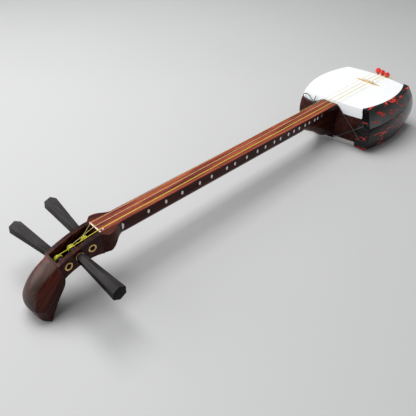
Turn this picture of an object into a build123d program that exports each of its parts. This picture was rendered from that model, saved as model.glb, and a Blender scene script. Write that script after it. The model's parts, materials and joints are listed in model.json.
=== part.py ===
"""A futozao (thick-necked) shamisen lying on its back: three strings, a three-piece neck, a skinned box body.

Millimetres, +Z up. The origin is the centre of the body's back face, X runs along the neck with the
head at -X, and -Y is the side where the player's arm rests. Neck parts are drawn in the neck's own
frame: x = 0 where the fingerboard meets the body, the nut at x = -NECK_LENGTH, z = 0 on the fingerboard.
"""

from build123d import *
from math import atan2, cos, degrees, radians, sin
import os

# Body box (dou): four bowed sides, bulged between the two skins.
CORNER_X, CORNER_Y = 89.0, 76.0
BOW_X, BOW_Y = 9.8, 17.0
BODY_HEIGHT = 94.0
BULGE = 8.0
WALL = 12.0
SKIN = 0.8
FRONT_WRAP, BACK_WRAP = 20.0, 12.5

# Neck (sao).
NECK_LENGTH = 626.0
NECK_RISE = 0.87
JOINT_X, JOINT_Z = -98.8, 88.4
HALF_WIDTH_BODY, HALF_WIDTH_NUT = 17.1, 16.1
NECK_DEPTH, SIDE_DEPTH = 31.5, 15.0
HEEL_START = 120.0
CHIBUKURO_START = -44.0
FINGERBOARD_EASE = 0.6
TENON_LENGTH, TENON_WIDTH, TENON_DEPTH = 26.0, 14.0, 15.0

# Head: pegbox (itogura) and scroll (tenjin). Distances run from the nut towards the head.
PEGBOX_HALF, SLOT_HALF = 20.0, 12.1
SLOT_TOP = [(-0.5, 5), (75, 5)]
SLOT_BOTTOM = [(71, -41), (59, -34.5), (43, -30.5), (27, -28.5), (9, -29)]
PEGBOX_TOP = [(0, 0), (18, -1.5), (36, -5), (54, -10), (75, -17)]
PEGBOX_BOTTOM = [(72, -47), (59, -40.5), (43, -36.5), (27, -34.5), (12, -36), (0, -40)]

# Pegs (itomaki): name, side of the handle, axis point at the near wall and at the handle's end.
NEAR_WALL_Y = -20.0
HANDLE_END_Y = 117.0
PEGS = {
    "1": (1, (59.9, -26.1), (77.0, -28.7)),
    "2": (-1, (40.1, -19.4), (37.8, -19.2)),
    "3": (1, (18.5, -16.7), (11.8, -14.5)),
}
PEG_HEX_ANGLE = {"1": 39.0, "2": 26.0, "3": 39.0}
PEG_END_RADIUS, PEG_NECK_RADIUS = 12.3, 7.6
SHAFT_RADIUS_HANDLE, SHAFT_RADIUS_TIP = 4.6, 3.9
RUN_CLEARANCE = 0.05
RING_RADIUS, RING_FLANGE, LINER_WALL = 7.0, 2.2, 1.1
WINDING_LENGTH = 6.4
SCROLL_CREASE_H = -76.0

# Strings, nut (kamigoma), bridge (koma) and tailpiece knots (neo).
STRING_RADIUS = {"1": 0.6, "2": 0.45, "3": 0.35}
NUT_Y = {"1": -11.7, "2": -0.5, "3": 10.4}
BRIDGE_Y = {"1": -19.2, "2": -7.9, "3": 3.5}
KNOT_YZ = {"1": (-22.0, 97.0), "2": (-9.3, 99.1), "3": (3.0, 100.8)}
WINDING_Y = {"1": 4.6, "2": 3.6, "3": 5.0}
NUT_LENGTH, NUT_WIDTH, NUT_TOP, NUT_SEAT = 29.4, 2.2, 1.6, 2.0
NUT_CENTRE_Y = -1.2
BRIDGE_X, BRIDGE_HEIGHT, BRIDGE_LENGTH, BRIDGE_FOOT = 41.8, 7.2, 61.0, 5.6
BRIDGE_CENTRE_Y = -7.9
KNOT_X, KNOT_RADIUS = 107.0, 6.2
BRIDGE_GAP = 0.1

# Arm-rest cover (dou-kake): height, half-length at the corners, corner and middle distance from the axis.
COVER_LEVELS = [(1.5, 92.0, 101.5, 117.0), (34, 99.2, 108.5, 122.5), (70, 98.2, 105.0, 121.0)]
COVER_TOP = (96.6, 89.5, 88.5, 105.3)
CREASE_TILT, CREASE_TAIL_CUT = 0.1, 8.0
COVER_WALL = 3.2
COVER_EDGE_Y = -75.0
COVER_CORD_RADIUS = 1.1
EYE_X, EYE_Y, EYE_Z, EYE_RADIUS = 98.5, -91.0, (62.0, 28.0), 2.2
BOW_KNOT_YZ, BOW_LIFT = (37.6, 76.2), 3.6

# Tone-position marks on the near side of the neck: just frequency ratios on the open string.
SCALE_LENGTH = 812.5
MARK_RATIOS = [21 / 20, 9 / 8, 32 / 27, 5 / 4, 4 / 3, 7 / 5, 3 / 2, 25 / 16, 5 / 3, 16 / 9, 15 / 8, 2]
MARK_REACH = 580.0

# Buzz adjuster (azuma-sawari) under string 1.
SAWARI_A, SAWARI_Y = -8.0, -11.7
SAWARI_SCREW_RADIUS, SAWARI_TOP = 1.5, 0.2
SAWARI_RECESS = -36.5
SAWARI_KNOB_RADIUS, SAWARI_KNOB_HEIGHT = 4.6, 4.6

NECK_FRAME = Pos(JOINT_X, 0, JOINT_Z) * Rot(0, NECK_RISE, 0)


def headward(distance):
    """Neck-frame x of a point this far beyond the nut, towards the head."""
    return -(NECK_LENGTH + distance)


def box_between(low, high):
    """A box from its lowest to its highest corner."""
    size = [b - a for a, b in zip(low, high)]
    middle = [(a + b) / 2 for a, b in zip(low, high)]
    return Pos(*middle) * Box(*size)


def side_extrusion(top, bottom, half_width):
    """A solid whose side view lies between two curves of (distance, height), extruded across the neck."""
    curves = []
    for run in (top, bottom):
        places = [Vector(headward(a), -half_width, h) for a, h in run]
        curves.append(Spline(places) if len(places) > 2 else Line(places[0], places[1]))
    upper, lower = curves
    ends = [Line(upper @ 1, lower @ 0), Line(lower @ 1, upper @ 0)]
    face = Face(Wire([upper.edge(), ends[0].edge(), lower.edge(), ends[1].edge()]))
    return extrude(face, amount=2 * half_width, dir=(0, 1, 0))


# ---------------------------------------------------------------- body


def body_outline(inset, z):
    """The body's plan: four arcs between its corners."""
    x, y = CORNER_X - inset, CORNER_Y - inset
    mx, my = CORNER_X + BOW_X - inset, CORNER_Y + BOW_Y - inset
    corners = [(x, -y, z), (x, y, z), (-x, y, z), (-x, -y, z)]
    middles = [(mx, 0, z), (0, my, z), (-mx, 0, z), (0, -my, z)]
    edges = [ThreePointArc(corners[i], middles[i], corners[(i + 1) % 4]) for i in range(4)]
    return Face(Wire(edges))


def barrel(inset):
    """The bulged body shape over its whole height, drawn in by an inset."""
    middle = BODY_HEIGHT / 2
    levels = [(inset, 0), (inset - BULGE, middle), (inset, BODY_HEIGHT)]
    return loft([body_outline(i, z) for i, z in levels])


def slab(low, high):
    return box_between((-200, -200, low), (200, 200, high))


def body_panels(spike):
    """Four mitred sides with bowed outer faces; the neck's spike passes through two of them."""
    inner = extrude(body_outline(WALL, 0), amount=BODY_HEIGHT)
    ring = (barrel(SKIN) & slab(SKIN, BODY_HEIGHT - SKIN)) - inner - spike
    apex, reach = CORNER_X - CORNER_Y, 60.0
    cx, cy = CORNER_X + reach, CORNER_Y + reach
    outlines = {
        "panel_neck_side": [(-apex, 0), (-cx, cy), (-cx, -cy)],
        "panel_tail_side": [(apex, 0), (cx, -cy), (cx, cy)],
        "panel_far_side": [(-apex, 0), (apex, 0), (cx, cy), (-cx, cy)],
        "panel_arm_side": [(apex, 0), (-apex, 0), (-cx, -cy), (cx, -cy)],
    }
    panels = {}
    for name, points in outlines.items():
        wedge = extrude(make_face(Polyline([*points, points[0]])), amount=BODY_HEIGHT)
        panels[name] = ring & wedge
    return panels


def wrap_notch(top_half, top_z, low_half, low_z):
    """The wedge trimmed out of a skin's wrap where the neck's heel meets the body."""
    points = [(-top_half, top_z), (top_half, top_z), (low_half, low_z), (-low_half, low_z)]
    face = make_face(Polyline([(-60, y, z) for y, z in [*points, points[0]]]))
    return extrude(face, amount=80, dir=(-1, 0, 0))


def skins(neck, spike):
    """Front and back skins: a stretched sheet each, wrapped and glued down the sides."""
    front = (barrel(0) & slab(BODY_HEIGHT - FRONT_WRAP, BODY_HEIGHT + 1)) - (
        barrel(SKIN) & slab(0, BODY_HEIGHT - SKIN)
    )
    front -= wrap_notch(19.0, JOINT_Z + 0.2, 37.0, BODY_HEIGHT - FRONT_WRAP - 1)
    back = (barrel(0) & slab(-1, BACK_WRAP)) - (barrel(SKIN) & slab(SKIN, BODY_HEIGHT + 1))
    back -= wrap_notch(24.0, BACK_WRAP + 1, 24.0, 4.0)
    return front - neck, back - neck


# ---------------------------------------------------------------- neck


def neck_half_width(x):
    return HALF_WIDTH_BODY + (HALF_WIDTH_NUT - HALF_WIDTH_BODY) * (-x) / NECK_LENGTH


def neck_section(x, top, side, shoulder, low, depth):
    """A D-shaped section: flat top, sides out to the shoulder and down, a round back."""
    right = [(x, top, 0), (x, side, -shoulder), (x, side, -low)]
    left = [(px, -py, pz) for px, py, pz in reversed(right)]
    edges = [
        Line(right[0], right[1]),
        Line(right[1], right[2]),
        ThreePointArc(right[2], (x, 0, -depth), left[0]),
        Line(left[0], left[1]),
        Line(left[1], left[2]),
        Line(left[2], right[0]),
    ]
    return Face(Wire(edges))


def plain_section(x):
    w = neck_half_width(x)
    return neck_section(x, w, w, 6.0, SIDE_DEPTH, NECK_DEPTH)


def neck_run(x_from, x_to):
    return loft([plain_section(x_from), plain_section(x_to)], ruled=True)


def tenon(x_root, grow=0.0):
    """The tongue that joins two neck pieces; it points towards the head."""
    low = (x_root - TENON_LENGTH - grow, -TENON_WIDTH / 2 - grow, -8 - TENON_DEPTH - grow)
    high = (x_root, TENON_WIDTH / 2 + grow, -8 + grow)
    return box_between(low, high)


def heel():
    """The pigeon-breast swell (hatomune): the neck deepens and flares where it meets the body."""
    w = neck_half_width(-HEEL_START)
    sections = [
        neck_section(-HEEL_START, w, w, 6.0, SIDE_DEPTH, NECK_DEPTH),
        neck_section(-98, 17.0, 17.0, 6.0, 16.0, 34.5),
        neck_section(-77, 17.1, 17.1, 6.5, 24.0, 45.0),
        neck_section(-47, 17.1, 17.6, 7.0, 40.0, 62.0),
        neck_section(-24, 17.2, 19.5, 7.5, 58.0, 76.0),
        neck_section(-8, 17.3, 23.5, 8.0, 69.0, 79.5),
        neck_section(5, 17.5, 28.0, 8.5, 73.0, 79.8),
    ]
    return loft(sections)


def spike_rod():
    """The spike (nakago): the lower neck's extension through the body, out at the tail."""
    near = box_face(-6, 11.0, -46.0, -16.0)
    tail = box_face(221, 8.5, -40.0, -20.0)
    return NECK_FRAME * loft([near, tail], ruled=True)


def box_face(x, half_width, low, high):
    points = [(x, -half_width, low), (x, half_width, low), (x, half_width, high), (x, -half_width, high)]
    return Face(Wire(Polyline([*points, points[0]]).edges()))


def chibukuro():
    """The leaf-shaped swelling of the neck below the nut: a crisp corner, then a long hollow run-out."""
    corner = neck_section(headward(-7.8), 28.4, 28.4, 6.0, 33.0, 46.5)
    root = neck_section(headward(0), 20.4, 20.4, 6.0, 38.5, 43.0)
    stations = [
        (-13.5, 28.4, 30.5, 45.5),
        (-19.5, 26.8, 25.5, 41.5),
        (-27.0, 22.6, 19.0, 36.5),
        (-34.0, 18.2, 16.0, 33.0),
    ]
    runout = [neck_section(headward(a), w, w, 6.0, low, d) for a, w, low, d in stations]
    runout.append(plain_section(headward(CHIBUKURO_START)))
    return loft([root, corner], ruled=True) + loft([corner, *runout])


def cord_notch():
    """The shallow step across the fingerboard's end where the cover's cord lies."""
    return box_between((-4.7, -30, -2.9), (6, 30, 1))


def neck_pieces():
    third = NECK_LENGTH / 3
    seam_low, seam_high = -third, -2 * third
    upper = neck_run(headward(CHIBUKURO_START), seam_high) + chibukuro()
    upper -= tenon(seam_high)
    upper -= nut_block()
    upper -= sawari_pocket()
    upper -= head_tenon()
    middle = neck_run(seam_high, seam_low) + tenon(seam_high)
    middle -= tenon(seam_low)
    lower = neck_run(seam_low, -HEEL_START) + heel() + tenon(seam_low)
    lower = NECK_FRAME * (lower - cord_notch())
    lower = (lower - barrel(SKIN)) + spike_rod()
    return NECK_FRAME * upper, NECK_FRAME * middle, lower


# ---------------------------------------------------------------- head


def fan_section(front, ridge, back):
    """A section of the scroll: broad rounded front, side ridges, slanted flanks and a flat back."""
    (fa, fh), (ra, rh, ry), (ba, bh, by) = front, ridge, back
    crown = []
    for across, drop in ((-1, 1), (-0.68, 0.3), (0, 0), (0.68, 0.3), (1, 1)):
        crown.append((headward(fa + (ra - fa) * drop), across * ry, fh + (rh - fh) * drop))
    rear = [(headward(ba), by, bh), (headward(ba), -by, bh)]
    edges = [
        Line(crown[0], crown[1]),
        ThreePointArc(crown[1], crown[2], crown[3]),
        Line(crown[3], crown[4]),
        Line(crown[4], rear[0]),
        Line(rear[0], rear[1]),
        Line(rear[1], crown[0]),
    ]
    return Face(Wire(edges))


def on_line(front, back, share):
    """The point this share of the way from front to back."""
    return tuple(f + (b - f) * share for f, b in zip(front, back))


def scroll_sections(stations):
    """Sections of the scroll from (front, back, share of the way to the side ridge, ridge y, back y)."""
    faces = []
    for front, back, share, ridge_y, back_y in stations:
        faces.append(fan_section(front, (*on_line(front, back, share), ridge_y), (*back, back_y)))
    return faces


def scroll():
    """The scroll curls forward and down from the pegbox to a level crease; its tip tapers in below that."""
    curl = loft(scroll_sections([
        ((74.5, -16.8), (70.0, -45.5), 0.15, 22.0, 21.4),
        ((92.0, -23.5), (75.5, -56.0), 0.47, 25.2, 24.2),
        ((106.5, -33.0), (82.0, -63.0), 0.56, 26.7, 25.6),
        ((118.0, -46.0), (91.0, -74.0), 0.58, 28.0, 27.0),
        ((125.0, -61.0), (100.0, -87.0), 0.52, 29.4, 28.2),
        ((128.0, -78.0), (107.0, -99.5), 0.80, 30.2, 29.0),
    ]))
    below_crease = box_between((headward(200), -100, SCROLL_CREASE_H - 200), (0, 100, SCROLL_CREASE_H))
    tip = loft(scroll_sections([
        ((128.0, SCROLL_CREASE_H), (92.8, SCROLL_CREASE_H), 0.44, 30.0, 27.8),
        ((121.1, -101.5), (108.7, -101.5), 0.95, 30.2, 30.0),
    ]), ruled=True)
    return (curl - below_crease) + tip


def head_tenon():
    """The head's tongue, let into the upper neck below the nut."""
    return tenon(headward(-TENON_LENGTH))


def head():
    """The head piece: pegbox walls and floor, peg holes, and the scroll."""
    block = side_extrusion(PEGBOX_TOP, PEGBOX_BOTTOM, PEGBOX_HALF)
    solid = (block + scroll()) - side_extrusion(SLOT_TOP, SLOT_BOTTOM, SLOT_HALF)
    solid += head_tenon()
    solid = NECK_FRAME * solid
    solid &= box_between((-1000, -100, 0), (0, 100, 200))
    for name in PEGS:
        near, far = ring_solids(name, hollow=False)
        solid = solid - near - far
    return solid


# ---------------------------------------------------------------- pegs


def peg_axis(name):
    """Point at the near wall, unit direction towards the handle, and distance to the handle's end."""
    side, (a0, h0), (a1, h1) = PEGS[name]
    end_y = side * HANDLE_END_Y
    start = NECK_FRAME * Pos(headward(a0), NEAR_WALL_Y, h0)
    end = NECK_FRAME * Pos(headward(a1), end_y, h1)
    run = end.position - start.position
    return start.position, run.normalized(), run.length


def peg_frame(name):
    """A plane on the peg's axis where it crosses the head's mid-plane, with z towards the handle."""
    start, direction, _ = peg_axis(name)
    middle = start + direction * (-start.Y / direction.Y)
    return Plane(origin=middle, z_dir=direction, x_dir=(-1, 0, 0))


def wall_distance(name, side):
    """Distance along the peg's axis from the mid-plane to the handle-side (+1) or tip-side (-1) wall."""
    _, direction, _ = peg_axis(name)
    return side * PEGBOX_HALF / abs(direction.Y)


def shaft_radius(distance, reach):
    """The taper of the peg's shaft from its tip-side wall to its handle-side wall."""
    share = (distance + reach) / (2 * reach)
    return SHAFT_RADIUS_TIP + (SHAFT_RADIUS_HANDLE - SHAFT_RADIUS_TIP) * share


def disc(radius, z):
    """A round section across the peg's axis."""
    return Face(Wire([Edge.make_circle(radius, Plane((0, 0, z)))]))


def shaft_loft(name, low, high, clearance=0.0):
    """The tapered shaft between two distances along the peg."""
    reach = wall_distance(name, 1)
    return loft([disc(shaft_radius(z, reach) + clearance, z) for z in (low, high)])


def peg_solid(name):
    """A tapered shaft and a hexagonal handle that widens to a flat end."""
    plane = peg_frame(name)
    start, direction, length = peg_axis(name)
    reach = wall_distance(name, 1)
    end = length - (plane.origin - start).dot(direction)
    handle_start = reach + 2.8
    shaft = shaft_loft(name, -reach + 0.8, handle_start)
    collar = loft([disc(SHAFT_RADIUS_HANDLE, handle_start - 1.5), disc(6.2, handle_start)])
    ends = []
    for z, radius in ((handle_start, PEG_NECK_RADIUS), (end, PEG_END_RADIUS)):
        ends.append((Pos(0, 0, z) * RegularPolygon(radius, 6, rotation=PEG_HEX_ANGLE[name])).face())
    return plane.location * (shaft + collar + loft(ends))


def ring_solids(name, hollow=True):
    """The brass liners that a peg turns in, near wall first: a flanged tube in each wall."""
    plane = peg_frame(name)
    reach = wall_distance(name, 1)
    thickness = (PEGBOX_HALF - SLOT_HALF) * reach / PEGBOX_HALF
    solids = []
    for wall in (-1, 1):
        outward = wall * PEGS[name][0]
        outer = outward * reach
        flange = Pos(0, 0, outer - outward * (RING_FLANGE / 2 - 0.9)) * Cylinder(RING_RADIUS, RING_FLANGE)
        radius = shaft_radius(outer, reach) + LINER_WALL
        body = flange + Pos(0, 0, outer - outward * thickness / 2) * Cylinder(radius, thickness - 1.2)
        if hollow:
            body -= shaft_loft(name, -reach - 6, reach + 6, RUN_CLEARANCE)
        solids.append(plane.location * body)
    return solids


def peg_bores(name):
    """The clear hole through both walls for the peg's shaft."""
    reach = wall_distance(name, 1)
    return peg_frame(name).location * shaft_loft(name, -reach - 6, reach + 6, RUN_CLEARANCE)


def winding_place(name):
    """The middle of the string's coils, as a distance along the peg from the mid-plane."""
    return WINDING_Y[name] * PEGS[name][0]


def winding_radius(name):
    """The outside of the coils: a little over one layer of string at the shaft's thicker end."""
    reach, middle, half = wall_distance(name, 1), winding_place(name), WINDING_LENGTH / 2
    thick = max(shaft_radius(z, reach) for z in (middle - half, middle + half))
    return thick + 2.4 * STRING_RADIUS[name]


def winding(name):
    """The coils of string on a peg's shaft: one bundle."""
    middle, half = winding_place(name), WINDING_LENGTH / 2
    body = Pos(0, 0, middle) * Cylinder(winding_radius(name), WINDING_LENGTH)
    return peg_frame(name).location * (body - shaft_loft(name, middle - half - 1, middle + half + 1))


# ---------------------------------------------------------------- strings and their supports


def nut_block():
    low = (headward(0), NUT_CENTRE_Y - NUT_LENGTH / 2, -NUT_SEAT)
    high = (headward(-NUT_WIDTH), NUT_CENTRE_Y + NUT_LENGTH / 2, NUT_TOP)
    return box_between(low, high)


def nut():
    block = nut_block()
    return NECK_FRAME * fillet(block.edges().filter_by(Axis.Y).group_by(Axis.Z)[-1], 0.7)


def string_path(name):
    """The string's corners: tangent to its coils, over the nut and the bridge, into its knot."""
    plane = peg_frame(name)
    r = STRING_RADIUS[name]
    centre = plane.origin + plane.z_dir * winding_place(name)
    at_nut = (NECK_FRAME * Pos(headward(-NUT_WIDTH / 2), NUT_Y[name], NUT_TOP + r + 0.35)).position
    away = (at_nut - centre).normalized()
    up = Vector(-away.Z, 0, away.X).normalized()
    start = centre + up * (winding_radius(name) + r + 0.3)
    at_bridge = Vector(BRIDGE_X, BRIDGE_Y[name], BODY_HEIGHT + BRIDGE_GAP + BRIDGE_HEIGHT + r + 0.2)
    knot_y, knot_z = KNOT_YZ[name]
    return [start, at_nut, at_bridge, Vector(KNOT_X - KNOT_RADIUS, knot_y, knot_z)]


def string(name):
    points = string_path(name)
    path = FilletPolyline(points, radius=3)
    section = Plane(origin=points[0], z_dir=points[1] - points[0]) * Circle(STRING_RADIUS[name])
    return sweep(section, path=path)


def bridge_profile(points, thickness):
    """A symmetrical front view in (distance from the middle, height), extruded along the strings."""
    outline = [*points, *[(-y, z) for y, z in reversed(points)]]
    places = [(0, y, z) for y, z in outline]
    face = make_face(Polyline([*places, places[0]]))
    solid = extrude(face, amount=thickness / 2, dir=(1, 0, 0), both=True)
    return Pos(BRIDGE_X, BRIDGE_CENTRE_Y, BODY_HEIGHT + BRIDGE_GAP) * solid


def bridge_foot():
    """The long low foot of the bridge, standing on the front skin, thinner towards its ends."""
    half = BRIDGE_LENGTH / 2
    block = bridge_profile([(-half, 0), (-half, 0.9), (-16, 2.0), (-13.5, 2.8)], BRIDGE_FOOT)
    for side in (-1, 1):
        for end in (-1, 1):
            points = [(side * x, end * y) for y, x in ((14, 2.8), (half + 1, 1.3), (half + 1, 4.0), (14, 4.0))]
            wedge = extrude(make_face(Polyline([*points, points[0]])), amount=10)
            block -= Pos(BRIDGE_X, BRIDGE_CENTRE_Y, BODY_HEIGHT) * wedge
    return block


def bridge_saddle():
    """The bone blade on the bridge that carries the strings, arched between its legs."""
    top = BRIDGE_HEIGHT
    blade = bridge_profile([(-13.0, 2.8), (-13.0, 4.4), (-12.2, top)], 2.0)
    arch = bridge_profile([(-8.5, 2.6), (-7.0, 4.6)], 4.0)
    return blade - arch


def neo_knots():
    """The three silk knots that the strings are tied into, on the body's tail edge."""
    knots = []
    for knot_y, knot_z in KNOT_YZ.values():
        knots.append(Pos(KNOT_X, knot_y, knot_z) * Sphere(KNOT_RADIUS))
    return knots


def neo_loop():
    """The silk cord from the spike's end up the tail face to the knots."""
    strands = []
    radius = 2.6
    for index, (knot_y, knot_z) in enumerate(KNOT_YZ.values()):
        foot_y = (-6.0, 0.0, 6.0)[index]
        points = [
            (KNOT_X + 5.8, knot_y, knot_z - 7.0),
            (side_surface(knot_y, 82) + 7.0, knot_y * 0.9, 84.0),
            (side_surface(foot_y, 72) + 4.0, (knot_y * 0.4 + foot_y * 0.6), 74.8),
        ]
        section = Plane(origin=points[0], z_dir=Vector(*points[1]) - Vector(*points[0])) * Circle(radius)
        strands.append(sweep(section, path=FilletPolyline(points, radius=8)))
    return strands


def neo_collar(spike):
    """The cord's turns round the spike's end."""
    x0 = side_surface(0, 58) + 0.6
    block = box_between((x0, -15.5, 36), (x0 + 7.0, 15.5, 73))
    block = fillet(block.edges().filter_by(Axis.X), 6)
    return block - spike


# ---------------------------------------------------------------- arm-rest cover and its cord


def cover_section(z, half, corner, middle, inset=0.0, tilt=0.0, cut=0.0):
    """A level of the cover: inner edge, two short ends and bowed outer side; cut shortens its tail end."""
    half, corner, middle = half - inset, corner - inset, middle - inset
    low = z - tilt * half
    tail = half - cut
    high = z + tilt * tail
    points = [(tail, -50, high), (-half, -50, low), (-half, -corner, low), (tail, -corner + cut * 0.4, high)]
    edges = [
        Line(points[0], points[1]),
        Line(points[1], points[2]),
        ThreePointArc(points[2], (0, -middle, z), points[3]),
        Line(points[3], points[0]),
    ]
    return Face(Wire(edges))


def cover_shape(inset=0.0):
    """The cover's outer surface: a bulged lower wall, a ridge that climbs to the tail, a sloped upper wall."""
    crease = cover_section(*COVER_LEVELS[-1], inset, CREASE_TILT, CREASE_TAIL_CUT)
    lower = loft([cover_section(*level, inset) for level in COVER_LEVELS[:-1]] + [crease])
    upper = loft([crease, cover_section(*COVER_TOP, inset)], ruled=True)
    return lower + upper


def arm_cover():
    """The lacquered cover (dou-kake) over the body's near side, hollow behind its wall."""
    cavity = cover_shape(COVER_WALL) & slab(-5, COVER_TOP[0] - 2.4)
    lid = extrude(body_outline(0, BODY_HEIGHT - 1), amount=10)
    shell = cover_shape() - cavity - barrel(0) - lid
    keep = box_between((-200, -200, 0.5), (200, COVER_EDGE_Y, 120))
    shell &= keep
    for z in EYE_Z:
        shell -= eye_cylinder(z, EYE_RADIUS, 12)
    return shell


def eye_cylinder(z, radius, length):
    return Pos(-EYE_X, EYE_Y, z) * Rot(0, 90, 0) * Cylinder(radius, length)


def cord_eyes(cover):
    """Two small brass ferrules in the cover's end flange."""
    eyes = []
    for z in EYE_Z:
        tube = eye_cylinder(z, EYE_RADIUS, 5.6)
        rim = Pos(-1.9, 0, 0) * eye_cylinder(z, EYE_RADIUS + 0.5, 1.8)
        eyes.append((tube + rim - eye_cylinder(z, COVER_CORD_RADIUS + 0.3, 12)) - cover)
    return eyes


def side_surface(y, z):
    """How far the body's neck-side or tail-side face stands from the centre."""
    middle = BODY_HEIGHT / 2
    bulge = BULGE * (1 - ((z - middle) / middle) ** 2)
    return CORNER_X + bulge + BOW_X * (1 - (y / (CORNER_Y + bulge)) ** 2)


def on_neck_side(y, z, lift=1.35):
    """A point for a cord lying on the body's neck-side face."""
    return Vector(-side_surface(y, z) - lift, y, z)


def cord(points, radius, corner=4.0):
    """A cord along rounded corners."""
    path = FilletPolyline(points, radius=corner)
    section = Plane(origin=points[0], z_dir=points[1] - points[0]) * Circle(radius)
    return sweep(section, path=path)


def cover_cord(bow):
    """The cover's cord: one run under the heel, one in the step at the fingerboard's end."""
    r = COVER_CORD_RADIUS
    under = [
        Vector(-EYE_X + 2.0, EYE_Y, EYE_Z[0]),
        Vector(-EYE_X - 5.6, EYE_Y, EYE_Z[0]),
        on_neck_side(-66, 42, 2.2),
        on_neck_side(-29, 12, 1.6),
        on_neck_side(-14, 5.6, 1.5),
        on_neck_side(14, 5.6, 1.5),
        on_neck_side(30, 14, 1.6),
        on_neck_side(36, 46, 1.5),
        on_neck_side(*BOW_KNOT_YZ, BOW_LIFT),
    ]
    over = [
        Vector(-EYE_X + 2.0, EYE_Y, EYE_Z[1]),
        Vector(-EYE_X - 5.6, EYE_Y, EYE_Z[1]),
        on_neck_side(-66, 50, 2.2),
        on_neck_side(-36.5, 75, 1.6),
        on_neck_side(-21.5, 87.0, 1.3),
        on_neck_side(21.5, 87.0, 1.3),
        on_neck_side(*BOW_KNOT_YZ, BOW_LIFT),
    ]
    return [cord(under, r, 3.0) - bow, cord(over, r, 3.0) - bow]


def cover_bow():
    """The knot, loop and two ends of the cord's bow, beside the neck on the far side."""
    knot_y, knot_z = BOW_KNOT_YZ
    knot = Pos(on_neck_side(knot_y, knot_z, BOW_LIFT + 0.5)) * Sphere(3.4)
    lift = BOW_LIFT + 1.5
    loop = [(knot_y + 1, knot_z + 0.5), (50, 81), (64, 85.6), (76, 80.5), (66, 74.6), (51, 74.5), (knot_y + 1, knot_z - 1.5)]
    end = [(knot_y, knot_z + 1), (knot_y + 2.0, knot_z + 8.0), (knot_y + 0.5, knot_z + 14.5)]
    low_end = [(knot_y, knot_z - 1), (44, 66), (47, 57)]
    runs = []
    for points in (loop, end, low_end):
        runs.append(cord([on_neck_side(y, min(z, BODY_HEIGHT), lift) + Vector(0, 0, max(0, z - BODY_HEIGHT)) for y, z in points], COVER_CORD_RADIUS, 2.2))
    whole = knot
    for run in runs:
        whole = whole + run
    return whole


def export(name, shapes):
    shapes = shapes if isinstance(shapes, list) else [shapes]
    solids = [solid for shape in shapes for solid in shape.solids()]
    export_step(Compound(children=solids), f"parts/{name}.step")


def mark_distances():
    """Distances from the nut, repeated an octave up, as far as the neck reaches."""
    distances = [SCALE_LENGTH * (1 - 1 / (ratio * octave)) for octave in (1, 2) for ratio in MARK_RATIOS]
    return [d for d in distances if d < MARK_REACH]


def position_marks(necks):
    """Thin stuck-on ovals on the near side face of the neck, the first one larger."""
    slope = degrees(atan2(HALF_WIDTH_BODY - HALF_WIDTH_NUT, NECK_LENGTH))
    marks = []
    for index, distance in enumerate(mark_distances()):
        x = headward(-distance)
        wide, tall = (3.4, 5.8) if index == 0 else (2.4, 3.8)
        place = Pos(x, -neck_half_width(x) - 0.15, -10.2 if index == 0 else -9.0) * Rot(0, 0, -slope) * Rot(90, 0, 0)
        plate = NECK_FRAME * place * extrude(Ellipse(wide, tall), amount=0.25, both=True)
        for neck in necks:
            plate -= neck
        marks.append(plate)
    return marks


def sawari_rod(radius, low, high):
    middle = Pos(headward(SAWARI_A), SAWARI_Y, (low + high) / 2)
    return middle * Cylinder(radius, high - low)


def sawari_pocket():
    """The way through the neck for the buzz adjuster: screw hole and knob recess."""
    hole = sawari_rod(SAWARI_SCREW_RADIUS + RUN_CLEARANCE, SAWARI_RECESS - 1, 1)
    recess = sawari_rod(SAWARI_KNOB_RADIUS + 0.5, SAWARI_RECESS - 20, SAWARI_RECESS)
    return hole + recess


def sawari_screw():
    """The screw that sets the buzz of string 1, and its knob, recessed in the back of the neck."""
    top = SAWARI_RECESS - 0.3
    rod = sawari_rod(SAWARI_SCREW_RADIUS, top - 1, SAWARI_TOP)
    return NECK_FRAME * (rod + sawari_rod(SAWARI_KNOB_RADIUS, top - SAWARI_KNOB_HEIGHT, top))


def main():
    os.makedirs("parts", exist_ok=True)
    spike = spike_rod()
    upper, middle, lower = neck_pieces()
    front, back = skins(lower, spike)
    for name, panel in body_panels(spike).items():
        export(name, panel)
    export("skin_front", front)
    export("skin_back", back)
    export("neck_upper", upper)
    export("neck_middle", middle)
    export("neck_lower", lower)
    whole_head = head()
    for name in PEGS:
        whole_head -= peg_bores(name)
    export("head", whole_head)
    export("nut", nut())
    for name in PEGS:
        export(f"peg_{name}", peg_solid(name))
        export(f"winding_{name}", winding(name))
        near, far = ring_solids(name)
        export(f"peg_ring_near_{name}", near)
        export(f"peg_ring_far_{name}", far)
        export(f"string_{name}", string(name))
    export("bridge_foot", bridge_foot())
    export("bridge_saddle", bridge_saddle())
    export("neo_knots", neo_knots())
    export("neo_cord", neo_loop())
    export("neo_collar", neo_collar(spike))
    cover = arm_cover()
    export("arm_cover", cover)
    export("cord_eyes", cord_eyes(cover))
    bow = cover_bow()
    export("cover_cord", cover_cord(bow))
    export("cover_bow", bow)
    export("position_marks", position_marks([upper, middle, lower]))
    export("sawari_screw", sawari_screw())


main()
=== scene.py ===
"""Looks for a futozao shamisen lying on its back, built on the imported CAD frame.

Lengths are metres in that frame, except routes, which are in millimetres and go through millimetres().
"""

import json
import math

import bmesh
import bpy
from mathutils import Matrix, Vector
from mathutils.bvhtree import BVHTree


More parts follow.
